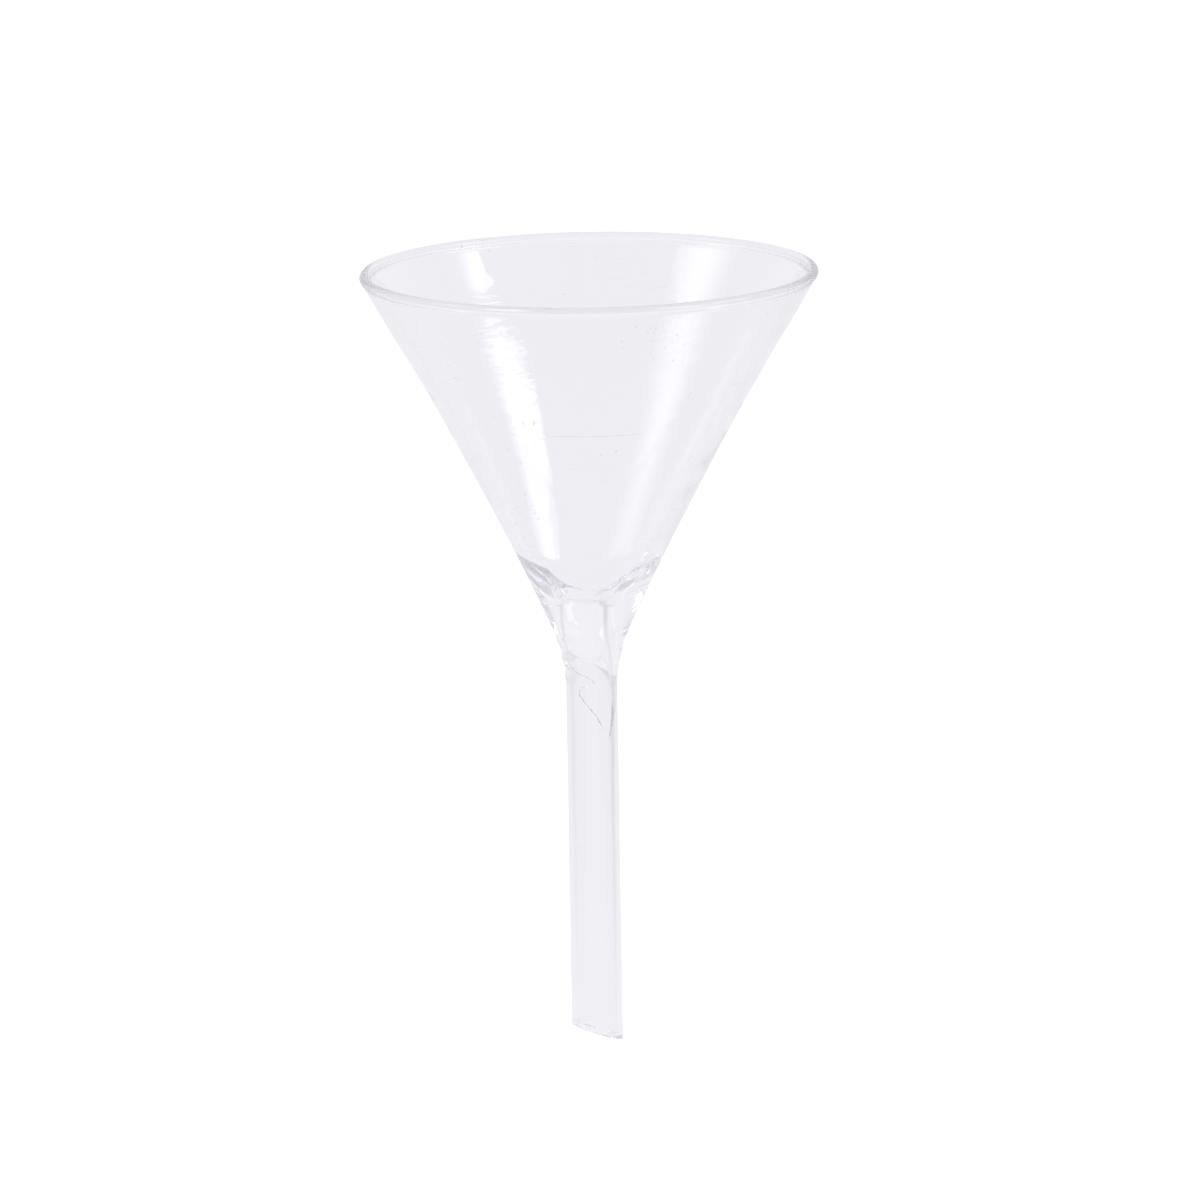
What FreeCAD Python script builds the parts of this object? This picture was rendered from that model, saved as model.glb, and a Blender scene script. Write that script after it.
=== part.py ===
"""A 75 mm laboratory filter funnel of clear glass, 130 mm long, with its stem cut at a slant.

The funnel is lampworked from a cone and a length of drawn tubing, melted together in a flame.
Four solids stand for what is formed in separate steps. They meet face to face, because the real
glass runs on through them: rim_bead, bowl_cone, throat_seal and stem_tube.

Frame: millimetres, +Z up along the funnel's axis, origin at the top of the straight stem.
The stem is longest on its +X side. Apart from that cut, each solid is turned about Z.
"""
import FreeCAD, Part
import math
import os

V = FreeCAD.Vector

# Driving dimensions
MOUTH_DIAMETER = 75.0        # outside the rim bead
OVERALL_LENGTH = 130.0       # top of the rim bead to the lowest point of the tip
WALL = 1.2                   # thickness of the cone's wall
BEAD_RADIUS = 0.85           # round section of the fire-polished rim
BEAD_PROUD = 0.10            # how far the bead stands out past the cone's outer face
CONE_HALF_ANGLE = 29.55      # degrees from the axis, straight upper part of the cone
THROAT_HALF_ANGLE = 24.4     # degrees from the axis, at the foot of the cone
CURVED_CONE_HEIGHT = 39.0    # height over which the cone turns from one angle to the other
STEM_RADIUS = 4.2
BORE_RADIUS = 3.1
STEM_FILLET = 26.5           # radius that runs the outside of the cone into the stem
TIP_SLANT = 19.1             # degrees that the tip's cut is off square

# Inside the throat, where the seal leaves the glass thick
SHOULDER_TOP = 20.5          # height on the outer face where the inner face leaves the cone's line
BORE_MOUTH = 17.0            # height where the shoulder's line would meet the bore
SHOULDER_FILLET = 2.0        # rounds the cone's inner face into the shoulder
MOUTH_FILLET = 1.0           # rounds the shoulder into the bore

# Where neighbouring solids meet
RIM_SEAM = 2.0               # distance down the wall from the bead's centre
THROAT_SEAM = 24.0           # height on the outer face
STEM_SEAM = -2.0             # height


def up_wall(degrees):
    """The way up a wall that leans out from the axis by this angle."""
    lean = math.radians(degrees)
    return V(math.sin(lean), 0, math.cos(lean))


def out_of_wall(degrees):
    """Square out of a wall that leans out from the axis by this angle."""
    lean = math.radians(degrees)
    return V(math.cos(lean), 0, -math.sin(lean))


# Outer face, from the stem up: a fillet, a long shallow arc, then the straight cone.
STEM_TOP = V(STEM_RADIUS, 0, 0)
FILLET_CENTRE = STEM_TOP + out_of_wall(0) * STEM_FILLET
CONE_FOOT = FILLET_CENTRE - out_of_wall(THROAT_HALF_ANGLE) * STEM_FILLET
SHALLOW_ARC = CURVED_CONE_HEIGHT / (
    math.sin(math.radians(CONE_HALF_ANGLE)) - math.sin(math.radians(THROAT_HALF_ANGLE))
)
SHALLOW_CENTRE = CONE_FOOT + out_of_wall(THROAT_HALF_ANGLE) * SHALLOW_ARC
STRAIGHT_FOOT = SHALLOW_CENTRE - out_of_wall(CONE_HALF_ANGLE) * SHALLOW_ARC

# Rim bead: its section reaches the mouth's diameter and stands just proud of the outer face.
UP = up_wall(CONE_HALF_ANGLE)
OUT = out_of_wall(CONE_HALF_ANGLE)
BEAD_DEPTH = BEAD_RADIUS - BEAD_PROUD            # bead's centre, inside the outer face
BEAD_X = MOUTH_DIAMETER / 2 - BEAD_RADIUS
BEAD_CLIMB = (BEAD_X + OUT.x * BEAD_DEPTH - STRAIGHT_FOOT.x) / UP.x
BEAD_CENTRE = STRAIGHT_FOOT + UP * BEAD_CLIMB - OUT * BEAD_DEPTH
TIP_Z = BEAD_CENTRE.z + BEAD_RADIUS - OVERALL_LENGTH


def line(start, end):
    return Part.LineSegment(start, end).toShape()


def arc(start, through, end):
    return Part.Arc(start, through, end).toShape()


def turned(edges):
    """The solid that a closed outline in the XZ plane sweeps about the Z axis."""
    solid = Part.Face(Part.Wire(edges)).revolve(V(0, 0, 0), V(0, 0, 1), 360)
    if solid.Volume < 0:
        solid.reverse()
    return solid


def straight_wall(below_bead, depth):
    """A point of the straight cone, this far down the wall and this deep in it."""
    return BEAD_CENTRE + OUT * (BEAD_DEPTH - depth) - UP * below_bead


def curved_wall(height, depth):
    """A point of the curved cone, this deep in the wall from this height on the outer face."""
    lean = math.degrees(math.asin((height - SHALLOW_CENTRE.z) / SHALLOW_ARC))
    return SHALLOW_CENTRE - out_of_wall(lean) * (SHALLOW_ARC + depth)


def rounded_corner(before, corner, after, radius):
    """Start, middle and end of the arc that rounds a corner between two straight runs."""
    back = (before - corner).normalize()
    ahead = (after - corner).normalize()
    half = back.getAngle(ahead) / 2
    reach = radius / math.tan(half)
    inward = (back + ahead).normalize()
    middle = corner + inward * (radius / math.sin(half) - radius)
    return corner + back * reach, middle, corner + ahead * reach


def rim_bead():
    """Round fire-polished bead, with the topmost strip of the wall that it grows out of."""
    inner_offset = WALL - BEAD_DEPTH
    outer_touch = straight_wall(math.sqrt(BEAD_RADIUS**2 - BEAD_DEPTH**2), 0)
    inner_touch = straight_wall(math.sqrt(BEAD_RADIUS**2 - inner_offset**2), WALL)
    outer_seam = straight_wall(RIM_SEAM, 0)
    inner_seam = straight_wall(RIM_SEAM, WALL)
    return turned([
        line(outer_seam, outer_touch),
        arc(outer_touch, BEAD_CENTRE + UP * BEAD_RADIUS, inner_touch),
        line(inner_touch, inner_seam),
        line(inner_seam, outer_seam),
    ])


def bowl_cone():
    """Thin wall of the cone: straight above, turning gently steeper towards the throat."""
    outer_top = straight_wall(RIM_SEAM, 0)
    inner_top = straight_wall(RIM_SEAM, WALL)
    inner_bend = STRAIGHT_FOOT - OUT * WALL
    outer_seam = curved_wall(THROAT_SEAM, 0)
    inner_seam = curved_wall(THROAT_SEAM, WALL)
    halfway = (THROAT_SEAM + STRAIGHT_FOOT.z) / 2
    return turned([
        line(outer_top, STRAIGHT_FOOT),
        arc(STRAIGHT_FOOT, curved_wall(halfway, 0), outer_seam),
        line(outer_seam, inner_seam),
        arc(inner_seam, curved_wall(halfway, WALL), inner_bend),
        line(inner_bend, inner_top),
        line(inner_top, outer_top),
    ])


def throat_seal():
    """Thick fused glass: outside a fillet into the stem, inside a shoulder down to the bore."""
    outer_seam = curved_wall(THROAT_SEAM, 0)
    inner_seam = curved_wall(THROAT_SEAM, WALL)
    shoulder = curved_wall(SHOULDER_TOP, WALL)
    mouth = V(BORE_RADIUS, 0, BORE_MOUTH)
    bore_foot = V(BORE_RADIUS, 0, STEM_SEAM)
    stem_foot = V(STEM_RADIUS, 0, STEM_SEAM)
    bend_top, bend_middle, bend_foot = rounded_corner(inner_seam, shoulder, mouth, SHOULDER_FILLET)
    lip_top, lip_middle, lip_foot = rounded_corner(shoulder, mouth, bore_foot, MOUTH_FILLET)
    halfway = (THROAT_SEAM + CONE_FOOT.z) / 2
    fillet_middle = FILLET_CENTRE - out_of_wall(THROAT_HALF_ANGLE / 2) * STEM_FILLET
    return turned([
        arc(outer_seam, curved_wall(halfway, 0), CONE_FOOT),
        arc(CONE_FOOT, fillet_middle, STEM_TOP),
        line(STEM_TOP, stem_foot),
        line(stem_foot, bore_foot),
        line(bore_foot, lip_foot),
        arc(lip_foot, lip_middle, lip_top),
        line(lip_top, bend_foot),
        arc(bend_foot, bend_middle, bend_top),
        line(bend_top, inner_seam),
        line(inner_seam, outer_seam),
    ])


def stem_tube():
    """Drawn tube, cut off at a slant with its longest side towards +X."""
    blank_foot = TIP_Z - STEM_RADIUS
    length = STEM_SEAM - blank_foot
    tube = Part.makeCylinder(STEM_RADIUS, length, V(0, 0, blank_foot))
    bore = Part.makeCylinder(BORE_RADIUS, length, V(0, 0, blank_foot))
    side = 6 * STEM_RADIUS
    waste = Part.makeBox(side, side, side, V(-side / 2, -side / 2, -side))
    waste.rotate(V(0, 0, 0), V(0, 1, 0), TIP_SLANT)
    waste.translate(V(0, 0, TIP_Z + STEM_RADIUS * math.tan(math.radians(TIP_SLANT))))
    return tube.cut(bore).cut(waste)


def save(node, shape):
    """Writes one closed solid to its STEP file and prints its size."""
    if len(shape.Solids) != 1 or not shape.isValid():
        raise ValueError(f"{node} is not one valid solid")
    solid = shape.Solids[0]
    solid.exportStep(os.path.join("parts", f"{node}.step"))
    box = solid.optimalBoundingBox()
    print(f"{node}: {solid.Volume / 1000:.2f} cm3, z {box.ZMin:.2f} to {box.ZMax:.2f}")


os.makedirs("parts", exist_ok=True)
for make in (rim_bead, bowl_cone, throat_seal, stem_tube):
    save(make.__name__, make())
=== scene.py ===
"""Looks of the 75 mm glass filter funnel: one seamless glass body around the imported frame.

The glass follows the wall's outline, with the marks that hand work leaves: a bowl set slightly off
the stem's axis, a lopsided seal in the throat and an uneven step in the bore. Its points are worked
out in millimetres and turned into metres when the mesh is made.
"""
import math

import bpy
import numpy as np
from mathutils import Matrix, Vector


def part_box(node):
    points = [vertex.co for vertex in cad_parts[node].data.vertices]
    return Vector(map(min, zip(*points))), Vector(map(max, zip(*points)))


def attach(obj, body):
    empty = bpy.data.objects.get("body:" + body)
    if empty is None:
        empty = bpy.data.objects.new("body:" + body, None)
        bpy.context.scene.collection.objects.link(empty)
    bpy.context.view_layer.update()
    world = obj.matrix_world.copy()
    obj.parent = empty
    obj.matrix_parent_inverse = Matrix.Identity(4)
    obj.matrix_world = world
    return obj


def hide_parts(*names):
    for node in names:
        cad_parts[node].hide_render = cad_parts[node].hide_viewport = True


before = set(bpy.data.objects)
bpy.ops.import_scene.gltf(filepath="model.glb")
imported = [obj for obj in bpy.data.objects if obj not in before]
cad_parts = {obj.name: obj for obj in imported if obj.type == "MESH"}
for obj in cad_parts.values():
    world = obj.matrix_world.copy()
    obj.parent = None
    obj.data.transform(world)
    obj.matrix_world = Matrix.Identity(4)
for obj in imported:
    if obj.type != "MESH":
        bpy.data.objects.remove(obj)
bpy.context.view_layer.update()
MM = 0.001

# Sizes read from the frame, in millimetres
RIM_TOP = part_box("rim_bead")[1].z / MM
MOUTH_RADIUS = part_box("rim_bead")[1].x / MM
TIP_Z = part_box("stem_tube")[0].z / MM
STEM_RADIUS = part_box("stem_tube")[1].x / MM

# Sizes of the glass wall, in millimetres and degrees, as designed
WALL = 1.2
BORE_RADIUS = 3.1
BEAD_RADIUS = 0.85
BEAD_PROUD = 0.10
CONE_HALF_ANGLE = 29.55
THROAT_HALF_ANGLE = 24.4
CURVED_CONE_HEIGHT = 39.0
STEM_FILLET = 26.5
TIP_SLANT = 19.1

# Hand-made irregularity: sizes and heights in millimetres
BOWL_OFFSET = 0.64           # the rim's centre, off the stem's axis to the view's right
BOWL_OFFSET_FROM = 5.0       # height where the bowl starts to lean off the axis
INSIDE_OFFSET = -0.9         # the throat's inner face, to the right of the outer face's axis
INSIDE_OFFSET_GROWS = (2.0, 14.0)     # heights where it is none and full
INSIDE_OFFSET_FADES = (46.0, 22.0)
# The throat's inner outline: degrees right of the front, height on the outer face where the inner
# face leaves the cone's wall, mouth of the bore, and how softly the outline bends there
THROAT = (
    (-180, 18.6, 16.8, 1.0), (-120, 21.0, 16.6, 0.8), (-85, 23.4, 15.8, 0.3),
    (-50, 22.6, 16.4, 0.25), (-35, 22.0, 16.8, 0.25), (-29, 20.2, 16.9, 0.25),
    (-18, 19.2, 17.1, 0.25), (-3, 18.4, 17.3, 0.25), (13, 18.0, 17.3, 0.25),
    (27, 18.3, 17.1, 0.25), (36, 19.6, 16.9, 0.25), (43, 21.4, 16.7, 0.25),
    (55, 22.3, 16.3, 0.25), (85, 23.0, 15.9, 0.3), (120, 20.6, 16.6, 0.8),
    (180, 18.6, 16.8, 1.0),
)
# Where the cone's glass was joined to the stem's tube: degrees right of the front, and height
SEAM = (
    (-180, 5.5), (-120, 4.6), (-62, 4.4), (-36, 3.4), (-10, 2.8), (5, 2.1), (5, 1.6), (-8, 1.2),
    (-26, 1.0), (-35, 0.4), (-34, -0.4), (8, -3.5), (49, -7.9), (75, -3.5), (100, 2.0),
    (130, 6.5), (155, 5.2), (180, 5.5),
)
SEAM_STEP = 0.34             # the bore is this much wider above the seam
SEAM_WIDTH = 0.28            # distance over which it widens
SEAM_STEP_HEIGHTS = (18.0, 16.5)      # in the throat, where it is none and full
SEAM_STEP_RADII = (4.3, 3.3)
# Ripples of the walls: size, wavelength along the height, waves round the turn, start, and the
# lowest and highest height they reach
RIPPLES_OUTSIDE = (
    (0.008, 7.3, 1, 0.4, 12, 66), (0.005, 4.9, -2, 2.1, 20, 66), (0.020, 23.0, 3, 0.9, -50, 60),
)
RIPPLES_INSIDE = (
    (0.008, 6.1, -1, 1.7, 24, 66), (0.005, 4.3, 2, 0.2, 26, 66), (0.015, 31.0, -2, 2.4, -50, 60),
)
RIPPLE_FADE = 3.0            # height over which a ripple comes in at either end
LUMPS = (0.12, 3.1, 1, 0.6, 0, 13)    # as a ripple: swellings on the left, at the throat's foot
LUMPS_TURN = -90.0                    # degrees right of the front
LUMPS_SPREAD = 45.0
HOLLOW = 0.20                # the cone's wall draws in this much below the rim
HOLLOW_GROWS = (36.0, 54.0)           # heights where it is none and full
HOLLOW_FLARES = (62.5, 55.0)
TIP_SHEAR = (-45.0, -57.0)   # heights over which the stem is sheared down to the tip's slanted cut

# Marks on the glass. Each noise has a scale along x, y and z, in cycles per millimetre, and the
# levels between which the mark comes in. Heights are in millimetres
CONE_MARKS_FROM = (4, 14)
RINGS, RINGS_SHARE = (0.10, 0.10, 1.9), 0.35
DRAW_LINES = (1.9, 1.9, 0.02)
FLECKS = (0.35, 0.35, 1.7)
FLECKS_GROW, FLECKS_SHARE = (30, 54), (1.5, 10.0)
FLECKS_FADE = (60, 63)
FLECKS_BEHIND = (4, 16)      # distance behind the axis over which they come in
RELIEF = 0.004               # depth of a mark of size 1
PIT_GROUPS, PIT_GROUPS_LEVELS = (0.09, 0.09, 0.12), (0.67, 0.73)
PIT_CELLS, PIT_RADII = (0.75, 0.75, 0.9), (0.07, 0.15)
HAIR, HAIR_LEVELS = (0.14, 0.14, 5.5), (0.86, 0.90)
SCUFF_PATCHES, SCUFF_PATCH_LEVELS = (0.05, 0.05, 0.06), (0.66, 0.74)
SCUFFS, SCUFF_LEVELS, SCUFFS_SHARE = (0.5, 0.5, 3.0), (0.60, 0.72), 0.35
SCRATCH_HEIGHT = 47.2
SCRATCH_HALF_WIDTH = (0.02, 0.07)
SCRATCH_STARTS, SCRATCH_ENDS = (-7, -5), (5, 12)      # to the right of the axis
WORN_SHARE = 0.30
FILM, FILM_LEVELS, FILM_ROUGHNESS = (0.08, 0.08, 0.3), (0.35, 0.75), 0.03
# painted shade on the bead's upper half, for the dark band of its refraction: the heights where it
# comes in, its share and its reach
BEAD_TOP = (69.3, 69.8)
BEAD_PAINTED_SHADE = (0.28, 0.06)     # share of painted shade at the front of the rim, and at its sides: a darker colour standing in for the dark band that refraction in the bead gives
BEAD_PAINTED_SHADE_FROM = -28         # the front, as a distance behind the axis
BEAD_SOFT, BEAD_ROUGHNESS = (68.0, 69.0), 0.10

# The view: the camera looks along AWAY, with RIGHT to its right
VIEW_TURN = math.radians(-18.0)
RIGHT = Vector((math.cos(VIEW_TURN), math.sin(VIEW_TURN), 0))
AWAY = Vector((-math.sin(VIEW_TURN), math.cos(VIEW_TURN), 0))
UP = Vector((0, 0, 1))
CAMERA_DISTANCE = 1.400
CAMERA_PITCH = math.radians(11.94)
CAMERA_ROLL = math.radians(0.935)
CAMERA_LENS = 255.1          # mm, on a 36 mm sensor
TARGET_ASIDE = 1.58          # mm to the right of the axis
TARGET_HEIGHT = 15.04        # mm above the top of the stem
FLOOR_BELOW_TIP = 0.045      # metres
LAMPS_AIM = 0.03             # metres above the top of the stem

# Steps between the rings of points, in millimetres, and the number of points round a ring
STEM_STEP = 1.0
STEM_TOP_STEP = 0.4
FILLET_STEP = 0.3
CURVE_STEP = 0.4
CONE_STEP = 0.5
BEAD_STEP = 0.11
BORE_STEP = 0.12
THROAT_STEPS = 180
TURN_STEPS = 256
PLAIN_STEM = -16.0           # height below which both faces of the stem are plain
BORE_TOP = 10.0              # height where the throat's inner outline ends
CONE_FOOT_INSIDE = 32.0      # height where it begins


def place(aside, away, up):
    """A point in metres, from distances along the view's right, along its depth and up."""
    return RIGHT * aside + AWAY * away + UP * up


def rise(value, low, high):
    """Goes smoothly from 0 at low to 1 at high. High may be the lower number."""
    t = np.clip((value - low) / (high - low), 0.0, 1.0)
    return t * t * (3 - 2 * t)


# Outline of the glass, as points of (radius, height)

def out_of_wall(degrees):
    """Square out of a wall that leans out from the axis by this angle."""
    lean = math.radians(degrees)
    return np.array([math.cos(lean), -math.sin(lean)])


def up_wall(degrees):
    """The way up a wall that leans out from the axis by this angle."""
    lean = math.radians(degrees)
    return np.array([math.sin(lean), math.cos(lean)])


# Outer face, from the stem up: a fillet, a long shallow arc, then the straight cone
FILLET_CENTRE = np.array([STEM_RADIUS + STEM_FILLET, 0.0])
CONE_FOOT = FILLET_CENTRE - out_of_wall(THROAT_HALF_ANGLE) * STEM_FILLET
LONG_ARC = CURVED_CONE_HEIGHT / (
    math.sin(math.radians(CONE_HALF_ANGLE)) - math.sin(math.radians(THROAT_HALF_ANGLE)))
LONG_CENTRE = CONE_FOOT + out_of_wall(THROAT_HALF_ANGLE) * LONG_ARC
CONE_OUT, CONE_UP = out_of_wall(CONE_HALF_ANGLE), up_wall(CONE_HALF_ANGLE)
STRAIGHT_FOOT = LONG_CENTRE - CONE_OUT * LONG_ARC
# The rim's bead, and how far down the wall from its centre its section meets either face
BEAD = np.array([MOUTH_RADIUS - BEAD_RADIUS, RIM_TOP - BEAD_RADIUS])
BEAD_DEPTH = BEAD_RADIUS - BEAD_PROUD
OUTER_TOUCH = BEAD + CONE_OUT * BEAD_DEPTH - CONE_UP * math.sqrt(BEAD_RADIUS**2 - BEAD_DEPTH**2)
INNER_DEPTH = WALL - BEAD_DEPTH
INNER_TOUCH = BEAD - CONE_OUT * INNER_DEPTH - CONE_UP * math.sqrt(BEAD_RADIUS**2 - INNER_DEPTH**2)
# The middle of the tip's slanted cut
TIP_MIDDLE = TIP_Z + STEM_RADIUS * math.tan(math.radians(TIP_SLANT))


def line(start, end, step):
    """Points along a straight run, without its end."""
    count = max(1, round(float(np.linalg.norm(end - start)) / step))
    return [start + (end - start) * i / count for i in range(count)]


def upright(radius, start, end, step):
    return line(np.array([radius, start]), np.array([radius, end]), step)


def arc(centre, radius, start, end, step):
    """Points along an arc, without its end. Its angles are degrees anticlockwise from outward."""
    count = max(2, round(abs(math.radians(end - start)) * radius / step))
    angles = [math.radians(start + (end - start) * i / count) for i in range(count)]
    return [centre + radius * np.array([math.cos(a), math.sin(a)]) for a in angles]


def bead_angle(point):
    return math.degrees(math.atan2(point[1] - BEAD[1], point[0] - BEAD[0]))


def outer_outline():
    """The outer face from the tip up, and over the bead."""
    return np.array(
        upright(STEM_RADIUS, TIP_MIDDLE, PLAIN_STEM, STEM_STEP)
        + upright(STEM_RADIUS, PLAIN_STEM, 0.0, STEM_TOP_STEP)
        + arc(FILLET_CENTRE, STEM_FILLET, 180, 180 - THROAT_HALF_ANGLE, FILLET_STEP)
        + arc(LONG_CENTRE, LONG_ARC, 180 - THROAT_HALF_ANGLE, 180 - CONE_HALF_ANGLE, CURVE_STEP)
        + line(STRAIGHT_FOOT, OUTER_TOUCH, CONE_STEP)
        + arc(BEAD, BEAD_RADIUS, bead_angle(OUTER_TOUCH), bead_angle(INNER_TOUCH) + 360, BEAD_STEP))


def inner_outline():
    """The cone's inner face, from the bead down to where the throat begins."""
    foot = math.degrees(math.asin((CONE_FOOT_INSIDE - LONG_CENTRE[1]) / (LONG_ARC + WALL)))
    return np.array(
        line(INNER_TOUCH, STRAIGHT_FOOT - CONE_OUT * WALL, CONE_STEP)
        + arc(LONG_CENTRE, LONG_ARC + WALL, 180 - CONE_HALF_ANGLE, 180 - foot, CURVE_STEP))


def throat_outline(from_front):
    """The inner face from the cone down to the bore, at one turn in degrees right of the front."""
    table = np.array(THROAT)
    shoulder, mouth, soft = [
        np.interp(from_front, table[:, 0], table[:, column]) for column in (1, 2, 3)]
    top = math.asin((CONE_FOOT_INSIDE - LONG_CENTRE[1]) / (LONG_ARC + WALL))
    foot = math.asin((shoulder - LONG_CENTRE[1]) / LONG_ARC)
    lean = np.linspace(top, foot, 20)[:, None]
    cone = LONG_CENTRE + (LONG_ARC + WALL) * np.hstack([-np.cos(lean), np.sin(lean)])
    run = np.vstack([cone, [BORE_RADIUS, mouth], [BORE_RADIUS, BORE_TOP]])

    # evenly spaced points, with both ends carried on straight
    length = np.concatenate([[0], np.cumsum(np.linalg.norm(np.diff(run, axis=0), axis=1))])
    spacing = length[-1] / THROAT_STEPS
    margin = THROAT_STEPS // 3
    at = np.arange(-margin, THROAT_STEPS + margin) * spacing
    even = np.stack([np.interp(at, length, run[:, axis]) for axis in (0, 1)], axis=1)
    start_way = (run[1] - run[0]) / np.linalg.norm(run[1] - run[0])
    even[:margin] = run[0] + start_way * at[:margin, None]
    past = at > length[-1]
    even[past] = run[-1] + np.array([0, -1]) * (at[past, None] - length[-1])

    # softened by a bell-shaped average
    reach = np.arange(-margin, margin + 1) * spacing
    weight = np.exp(-0.5 * (reach / soft)**2)
    weight /= weight.sum()
    return np.stack([np.convolve(even[:, axis], weight, "valid") for axis in (0, 1)], axis=1)


def bore_outline():
    """The bore, from the foot of the throat's outline down to the tip."""
    return np.array(
        upright(BORE_RADIUS, BORE_TOP, PLAIN_STEM, BORE_STEP)
        + upright(BORE_RADIUS, PLAIN_STEM, TIP_MIDDLE, STEM_STEP)
        + [np.array([BORE_RADIUS, TIP_MIDDLE])])


# Hand-made irregularity

def above_seam(from_front, height):
    """1 where the bore is above the seam, 0 below it. The turn is in degrees right of the front."""
    once_round = 2 * math.pi * BORE_RADIUS
    seam = np.array(SEAM, float) * (math.radians(BORE_RADIUS), 1)
    seam = np.vstack([seam + (shift * once_round, 0) for shift in (-1, 0, 1)])
    x = ((from_front + 180) % 360 - 180) * math.radians(BORE_RADIUS) + 0 * height
    distance = np.full(x.shape, np.inf)
    crossings = np.zeros(x.shape, int)
    for start, end in zip(seam[:-1], seam[1:]):
        way = end - start
        part = ((x - start[0]) * way[0] + (height - start[1]) * way[1]) / max(way @ way, 1e-9)
        part = np.clip(part, 0, 1)
        distance = np.minimum(distance, np.hypot(
            x - start[0] - part * way[0], height - start[1] - part * way[1]))
        if way[0] != 0:
            level = start[1] + (x - start[0]) / way[0] * way[1]
            spans = (x >= min(start[0], end[0])) & (x < max(start[0], end[0]))
            crossings += spans & (height > level)
    side = np.where(crossings % 2 == 1, 1, -1)
    return rise(side * distance, -SEAM_WIDTH / 2, SEAM_WIDTH / 2)


def ripple(height, turn, waves):
    """Small swellings of the wall along its height, drifting slowly round the turn."""
    swell = 0 * height
    for size, length, around, start, low, high in waves:
        reach = rise(height, low, low + RIPPLE_FADE) * rise(height, high, high - RIPPLE_FADE)
        swell = swell + size * reach * np.sin(
            2 * math.pi * height / length + around * turn + start)
    return swell


def funnel_points():
    """Rings of points, one for each outline point, as an array of (ring, turn, xyz)."""
    turn = np.linspace(0, 2 * math.pi, TURN_STEPS, endpoint=False)
    from_front = np.degrees(np.arctan2(
        np.cos(turn) * RIGHT.x + np.sin(turn) * RIGHT.y,
        -np.cos(turn) * AWAY.x - np.sin(turn) * AWAY.y))
    outer, inner, bore = [
        np.repeat(outline[:, None], TURN_STEPS, axis=1)
        for outline in (outer_outline(), inner_outline(), bore_outline())]
    throat = np.stack([throat_outline(angle) for angle in from_front], axis=1)
    bore[..., 0] += SEAM_STEP * above_seam(from_front[None, :], bore[..., 1])
    reach = rise(throat[..., 1], *SEAM_STEP_HEIGHTS) * rise(throat[..., 0], *SEAM_STEP_RADII)
    throat[..., 0] += SEAM_STEP * reach

    profile = np.concatenate([outer, inner, throat, bore])
    radius, height = profile[..., 0], profile[..., 1]
    inside = np.arange(len(profile))[:, None] >= len(outer)
    lumps = ripple(height, turn, (LUMPS,)) * rise(
        np.abs(from_front - LUMPS_TURN), LUMPS_SPREAD, 0.0)
    radius = radius + np.where(
        inside, ripple(height, turn, RIPPLES_INSIDE), ripple(height, turn, RIPPLES_OUTSIDE) + lumps)
    radius = radius - HOLLOW * rise(height, *HOLLOW_GROWS) * rise(height, *HOLLOW_FLARES)

    x, y = radius * np.cos(turn), radius * np.sin(turn)
    # the slanted cut: the stem's last stretch is sheared down to the cut's plane
    z = height - math.tan(math.radians(TIP_SLANT)) * x * rise(height, *TIP_SHEAR)
    # the bowl leans to one side of the stem's axis, and the throat's inside to the other
    shift = BOWL_OFFSET * np.clip(
        (height - BOWL_OFFSET_FROM) / (RIM_TOP - BOWL_OFFSET_FROM), 0, 1)
    shift += (inside * INSIDE_OFFSET
              * rise(height, *INSIDE_OFFSET_GROWS) * rise(height, *INSIDE_OFFSET_FADES))
    return np.stack([x + shift * RIGHT.x, y + shift * RIGHT.y, z], axis=-1)


def closed_rings(name, points):
    """A closed mesh: each ring of points closes on itself, and the last ring joins the first."""
    rings, steps, _ = points.shape
    index = np.arange(rings * steps).reshape(rings, steps)
    ahead = np.roll(index, -1, axis=1)
    above = np.roll(index, -1, axis=0)
    faces = np.stack([index, ahead, np.roll(above, -1, axis=1), above], axis=-1).reshape(-1, 4)
    mesh = bpy.data.meshes.new(name)
    mesh.from_pydata((points.reshape(-1, 3) * MM).tolist(), [], faces.tolist())
    mesh.shade_smooth()
    mesh.update()
    piece = bpy.data.objects.new(name, mesh)
    bpy.context.scene.collection.objects.link(piece)
    return piece


# Materials

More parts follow.
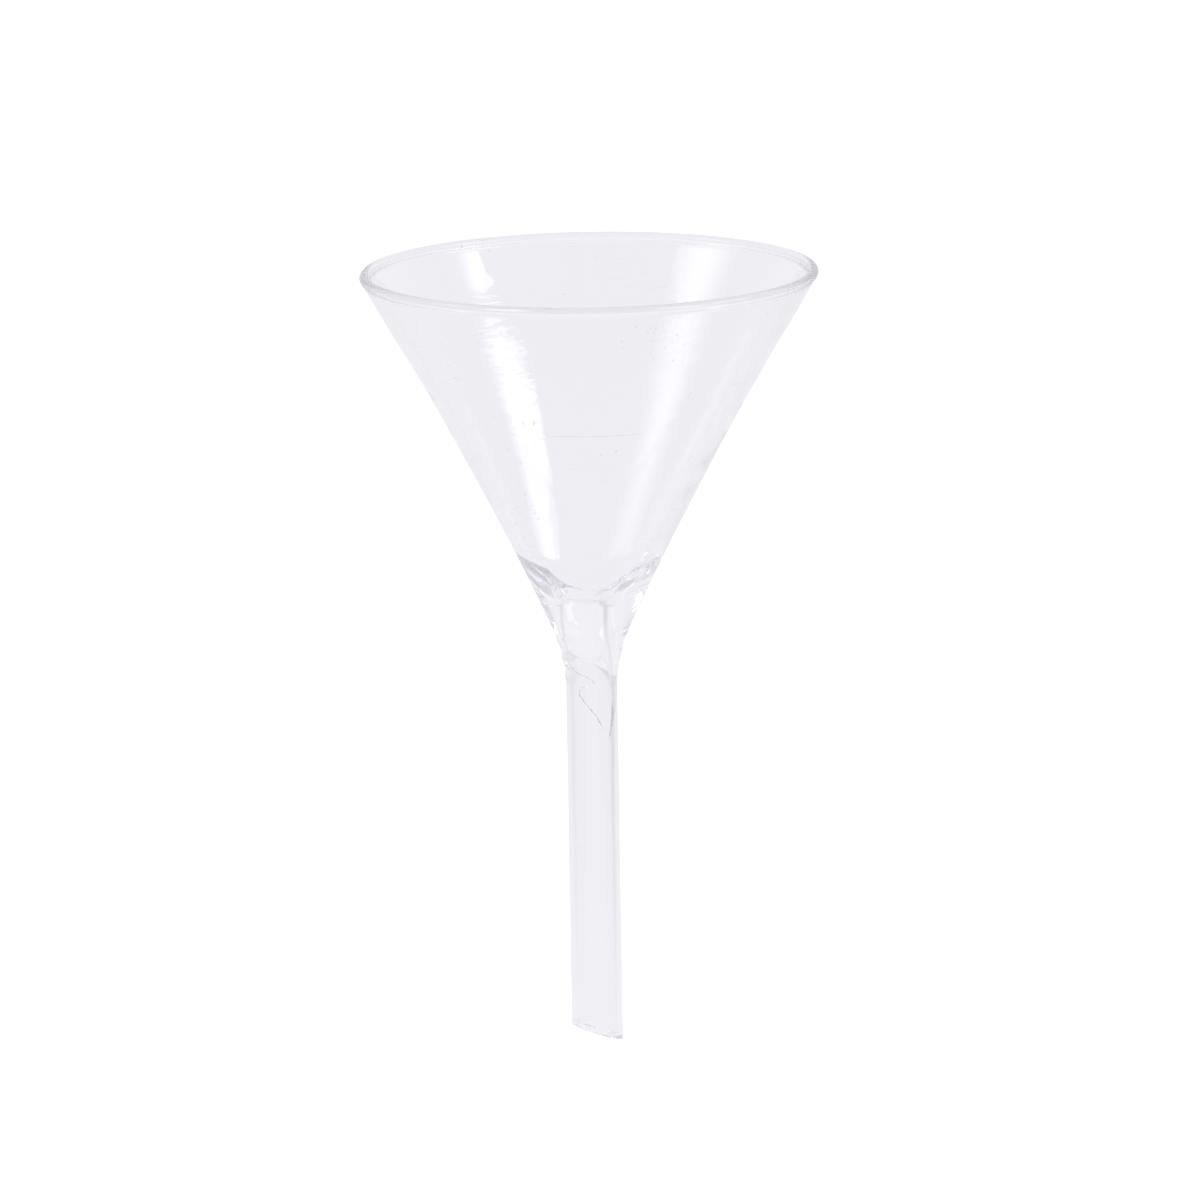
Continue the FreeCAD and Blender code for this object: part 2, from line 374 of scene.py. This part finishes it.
class Nodes:
    """Short ways to add nodes to a tree. Lengths are in metres."""

    def __init__(self, tree, position="Object"):
        self.tree = tree
        self.position = tree.nodes.new("ShaderNodeTexCoord").outputs[position]

    def texture(self, kind, scale):
        """A texture, stretched by a scale for each axis in cycles per millimetre."""
        mapping = self.tree.nodes.new("ShaderNodeMapping")
        mapping.inputs["Scale"].default_value = [cycles / MM for cycles in scale]
        self.tree.links.new(self.position, mapping.inputs["Vector"])
        texture = self.tree.nodes.new(kind)
        texture.inputs["Scale"].default_value = 1.0
        self.tree.links.new(mapping.outputs["Vector"], texture.inputs["Vector"])
        return texture

    def noise(self, scale, detail):
        noise = self.texture("ShaderNodeTexNoise", scale)
        noise.inputs["Detail"].default_value = detail
        return noise.outputs[0]

    def cells(self, scale):
        """Distance from the middle of the nearest cell, in cells."""
        return self.texture("ShaderNodeTexVoronoi", scale).outputs["Distance"]

    def along(self, direction):
        """How far along a direction."""
        product = self.tree.nodes.new("ShaderNodeVectorMath")
        product.operation = "DOT_PRODUCT"
        self.tree.links.new(self.position, product.inputs[0])
        product.inputs[1].default_value = direction
        return product.outputs["Value"]

    def ranged(self, value, low, high, to_low=0.0, to_high=1.0):
        """Maps low..high to to_low..to_high, smoothly and without passing either end."""
        limits = self.tree.nodes.new("ShaderNodeMapRange")
        limits.interpolation_type = "SMOOTHSTEP"
        self.tree.links.new(value, limits.inputs["Value"])
        for socket, number in zip(limits.inputs[1:5], (low, high, to_low, to_high)):
            socket.default_value = number
        return limits.outputs["Result"]

    def spanned(self, value, span, to_low=0.0, to_high=1.0):
        """As ranged, for a span in millimetres."""
        return self.ranged(value, span[0] * MM, span[1] * MM, to_low, to_high)

    def maths(self, operation, *values):
        made = self.tree.nodes.new("ShaderNodeMath")
        made.operation = operation
        for socket, value in zip(made.inputs, values):
            if isinstance(value, bpy.types.NodeSocket):
                self.tree.links.new(value, socket)
            else:
                socket.default_value = value
        return made.outputs[0]

    def product(self, first, *others):
        for other in others:
            first = self.maths("MULTIPLY", first, other)
        return first

    def largest(self, first, *others):
        for other in others:
            first = self.maths("MAXIMUM", first, other)
        return first


def relief(nodes, height, in_cone):
    """Fine rings from turning in the flame, flecks below the rim, and draw lines on the stem."""
    flecks = nodes.product(
        nodes.noise(FLECKS, 1.0),
        nodes.spanned(height, FLECKS_GROW, *FLECKS_SHARE),
        nodes.spanned(height, FLECKS_FADE, 1.0, 0.0),
        nodes.spanned(nodes.along(AWAY), FLECKS_BEHIND))
    rings = nodes.maths("ADD", nodes.product(nodes.noise(RINGS, 2.0), RINGS_SHARE), flecks)
    in_stem = nodes.maths("SUBTRACT", 1.0, in_cone)
    return nodes.maths(
        "ADD", nodes.product(rings, in_cone), nodes.product(nodes.noise(DRAW_LINES, 1.0), in_stem))


def pitting(nodes, in_cone):
    """Pits and seeds in loose groups."""
    groups = nodes.ranged(nodes.noise(PIT_GROUPS, 0.0), *PIT_GROUPS_LEVELS)
    spots = nodes.ranged(nodes.cells(PIT_CELLS), *PIT_RADII, 1.0, 0.0)
    return nodes.product(groups, spots, in_cone)


def wear(nodes, height, in_cone):
    """Short scratches round the cone, small dull scuffs, and one long scratch across the front."""
    hair = nodes.product(in_cone, nodes.ranged(nodes.noise(HAIR, 0.0), *HAIR_LEVELS))
    scuffs = nodes.product(
        nodes.ranged(nodes.noise(SCUFF_PATCHES, 0.0), *SCUFF_PATCH_LEVELS),
        nodes.ranged(nodes.noise(SCUFFS, 2.0), *SCUFF_LEVELS),
        SCUFFS_SHARE)
    off_level = nodes.maths("ABSOLUTE", nodes.maths("SUBTRACT", height, SCRATCH_HEIGHT * MM))
    aside = nodes.along(RIGHT)
    scratch = nodes.product(
        nodes.spanned(off_level, SCRATCH_HALF_WIDTH, 1.0, 0.0),
        nodes.spanned(aside, SCRATCH_STARTS),
        nodes.spanned(aside, SCRATCH_ENDS, 1.0, 0.0),
        nodes.maths("LESS_THAN", nodes.along(AWAY), 0.0))
    return nodes.largest(hair, scratch, scuffs)


def glass_material():
    material = bpy.data.materials.new("clear_glass")
    material.use_nodes = True
    tree = material.node_tree
    shader = tree.nodes["Principled BSDF"]
    shader.inputs["IOR"].default_value = 1.47
    shader.inputs["Transmission Weight"].default_value = 1.0
    nodes = Nodes(tree)
    height = nodes.along(UP)
    in_cone = nodes.spanned(height, CONE_MARKS_FROM)
    pits = pitting(nodes, in_cone)
    worn = wear(nodes, height, in_cone)

    # marks are darker; the bead's upper half also gets painted shade, most of all at the front: a
    # darker colour standing in for the dark band that refraction in the bead gives
    bead = nodes.product(
        nodes.spanned(height, BEAD_TOP),
        nodes.spanned(nodes.along(AWAY), (BEAD_PAINTED_SHADE_FROM, 0), *BEAD_PAINTED_SHADE))
    marks_and_painted_shade = tree.nodes.new("ShaderNodeValToRGB")
    clear, dark = marks_and_painted_shade.color_ramp.elements
    clear.color = (0.995, 0.995, 0.998, 1)
    dark.color = (0.58, 0.58, 0.63, 1)
    tree.links.new(nodes.largest(pits, nodes.product(worn, WORN_SHARE), bead), marks_and_painted_shade.inputs[0])
    tree.links.new(marks_and_painted_shade.outputs["Color"], shader.inputs["Base Color"])

    # marks are rough, there is a faint film in places, and the bead's fire polish is a little soft
    rough = nodes.maths(
        "ADD",
        nodes.ranged(nodes.noise(FILM, 1.0), *FILM_LEVELS, 0.0, FILM_ROUGHNESS),
        nodes.product(nodes.largest(worn, pits), WORN_SHARE))
    rough = nodes.maths("ADD", rough, nodes.spanned(height, BEAD_SOFT, 0.0, BEAD_ROUGHNESS))
    tree.links.new(rough, shader.inputs["Roughness"])

    bump = tree.nodes.new("ShaderNodeBump")
    bump.inputs["Strength"].default_value = 1.0
    bump.inputs["Distance"].default_value = RELIEF * MM
    tree.links.new(relief(nodes, height, in_cone), bump.inputs["Height"])
    tree.links.new(bump.outputs["Normal"], shader.inputs["Normal"])

    absorb = tree.nodes.new("ShaderNodeVolumeAbsorption")
    absorb.inputs["Color"].default_value = (0.80, 0.81, 0.86, 1)
    absorb.inputs["Density"].default_value = 6.0
    tree.links.new(absorb.outputs[0], tree.nodes["Material Output"].inputs["Volume"])
    return material


def white_to_the_eye(tree, in_glass):
    """White where it is seen directly, and another colour or socket in or through the glass.
    Gives that colour, and a socket that is 1 where it is seen directly."""
    direct = tree.nodes.new("ShaderNodeLightPath").outputs["Is Camera Ray"]
    mix = tree.nodes.new("ShaderNodeMix")
    mix.data_type = "RGBA"
    sockets = {socket.identifier: socket for socket in [*mix.inputs, *mix.outputs]}
    tree.links.new(direct, sockets["Factor_Float"])
    if isinstance(in_glass, bpy.types.NodeSocket):
        tree.links.new(in_glass, sockets["A_Color"])
    else:
        sockets["A_Color"].default_value = in_glass
    sockets["B_Color"].default_value = (1, 1, 1, 1)
    return sockets["Result_Color"], direct


def floor_material():
    material = bpy.data.materials.new("white_floor")
    material.use_nodes = True
    tree = material.node_tree
    shader = tree.nodes["Principled BSDF"]
    shader.inputs["Base Color"].default_value = (0.1, 0.1, 0.1, 1)
    shader.inputs["Roughness"].default_value = 1.0
    shader.inputs["Specular IOR Level"].default_value = 0.0
    colour, direct = white_to_the_eye(tree, (0.805, 0.797, 0.834, 1))
    tree.links.new(colour, shader.inputs["Emission Color"])
    # in the glass, a little darker out on the left and right, where the lamps' light falls off
    nodes = Nodes(tree)
    aside = nodes.along(RIGHT)
    fade = nodes.maths("MINIMUM", nodes.ranged(aside, 0.10, 0.35, 1.0, 0.80),
                       nodes.ranged(aside, -0.40, -0.10, 0.88, 1.0))
    tree.links.new(nodes.largest(fade, direct), shader.inputs["Emission Strength"])
    return material


# Stage

def add_floor():
    half = 4.0
    corners = [(-half, -half, 0), (half, -half, 0), (half, half, 0), (-half, half, 0)]
    mesh = bpy.data.meshes.new("floor")
    mesh.from_pydata(corners, [], [(0, 1, 2, 3)])
    mesh.materials.append(floor_material())
    floor = bpy.data.objects.new("floor", mesh)
    floor.location.z = TIP_Z * MM - FLOOR_BELOW_TIP
    bpy.context.scene.collection.objects.link(floor)


def add_world():
    """In the glass, pale round the horizon and dimmer towards the ceiling and the far sides."""
    world = bpy.data.worlds.new("studio")
    world.use_nodes = True
    tree = world.node_tree
    background = tree.nodes["Background"]
    nodes = Nodes(tree, "Generated")
    ramp = tree.nodes.new("ShaderNodeValToRGB")
    ramp.color_ramp.interpolation = "EASE"
    low, high = ramp.color_ramp.elements
    low.position, low.color = 0.30, (0.905, 0.897, 0.937, 1)
    high.position, high.color = 0.90, (0.66, 0.655, 0.71, 1)
    tree.links.new(nodes.along(UP), ramp.inputs[0])
    colour, direct = white_to_the_eye(tree, ramp.outputs["Color"])
    tree.links.new(colour, background.inputs["Color"])
    aside = nodes.maths("ABSOLUTE", nodes.along(RIGHT))
    tree.links.new(nodes.largest(nodes.ranged(aside, 0.70, 0.98, 1.0, 0.78), direct),
                   background.inputs["Strength"])
    bpy.context.scene.world = world


def add_softbox(name, position, size, radiance, rises, falls, slant):
    """A lamp that faces the funnel. Its radiance rises and falls across its face, over two spans
    of its width; slant leans both over its height."""
    width, height = size
    light = bpy.data.lights.new(name, "AREA")
    light.shape = "RECTANGLE"
    light.size, light.size_y = width, height
    light.energy = width * height * math.pi      # a radiance of 1, before the nodes
    light.use_nodes = True
    tree = light.node_tree
    nodes = Nodes(tree)
    face = tree.nodes.new("ShaderNodeSeparateXYZ")
    tree.links.new(tree.nodes.new("ShaderNodeNewGeometry").outputs["Parametric"], face.inputs[0])
    off_middle = nodes.maths("SUBTRACT", face.outputs["Y"], 0.5)
    across = nodes.maths("ADD", face.outputs["X"], nodes.product(off_middle, slant))
    strength = nodes.product(
        nodes.ranged(across, *rises), nodes.ranged(across, *falls, 1.0, 0.0), radiance)
    tree.links.new(strength, tree.nodes["Emission"].inputs["Strength"])
    lamp = bpy.data.objects.new(name, light)
    lamp.location = position
    to_funnel = UP * LAMPS_AIM - position
    lamp.rotation_euler = to_funnel.to_track_quat("-Z", "Y").to_euler()
    lamp.visible_camera = False
    bpy.context.scene.collection.objects.link(lamp)


def add_camera():
    lens = bpy.data.cameras.new("camera")
    lens.lens = CAMERA_LENS
    lens.sensor_width = 36.0
    lens.clip_start, lens.clip_end = 0.01, 100.0
    forward = AWAY * math.cos(CAMERA_PITCH) - UP * math.sin(CAMERA_PITCH)
    target = place(TARGET_ASIDE * MM, 0, TARGET_HEIGHT * MM)
    level_up = RIGHT.cross(forward)
    right = RIGHT * math.cos(CAMERA_ROLL) - level_up * math.sin(CAMERA_ROLL)
    up = level_up * math.cos(CAMERA_ROLL) + RIGHT * math.sin(CAMERA_ROLL)
    camera = bpy.data.objects.new("camera", lens)
    camera.matrix_world = Matrix.Translation(target - forward * CAMERA_DISTANCE) @ Matrix(
        (right, up, -forward)).transposed().to_4x4()
    bpy.context.scene.collection.objects.link(camera)
    bpy.context.scene.camera = camera


funnel = closed_rings("funnel_glass", funnel_points())
funnel.data.materials.append(glass_material())
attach(funnel, "root")
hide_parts("rim_bead", "bowl_cone", "throat_seal", "stem_tube")

add_floor()
add_world()
add_softbox("key_right", place(0.550, -0.169, 0.395), (0.42, 0.27), 2.8,
            rises=(0.145, 0.185), falls=(0.66, 1.0), slant=0.3)
add_softbox("fill_left", place(-0.549, -0.112, 0.42), (0.46, 0.34), 1.75,
            rises=(0.0, 0.5), falls=(0.5, 1.0), slant=0.0)
add_camera()

scene = bpy.context.scene
scene.view_settings.view_transform = "Standard"
# light that the glass guides along its wall needs many bounces to come out
scene.cycles.max_bounces = 200
scene.cycles.transmission_bounces = 200
scene.cycles.glossy_bounces = 200
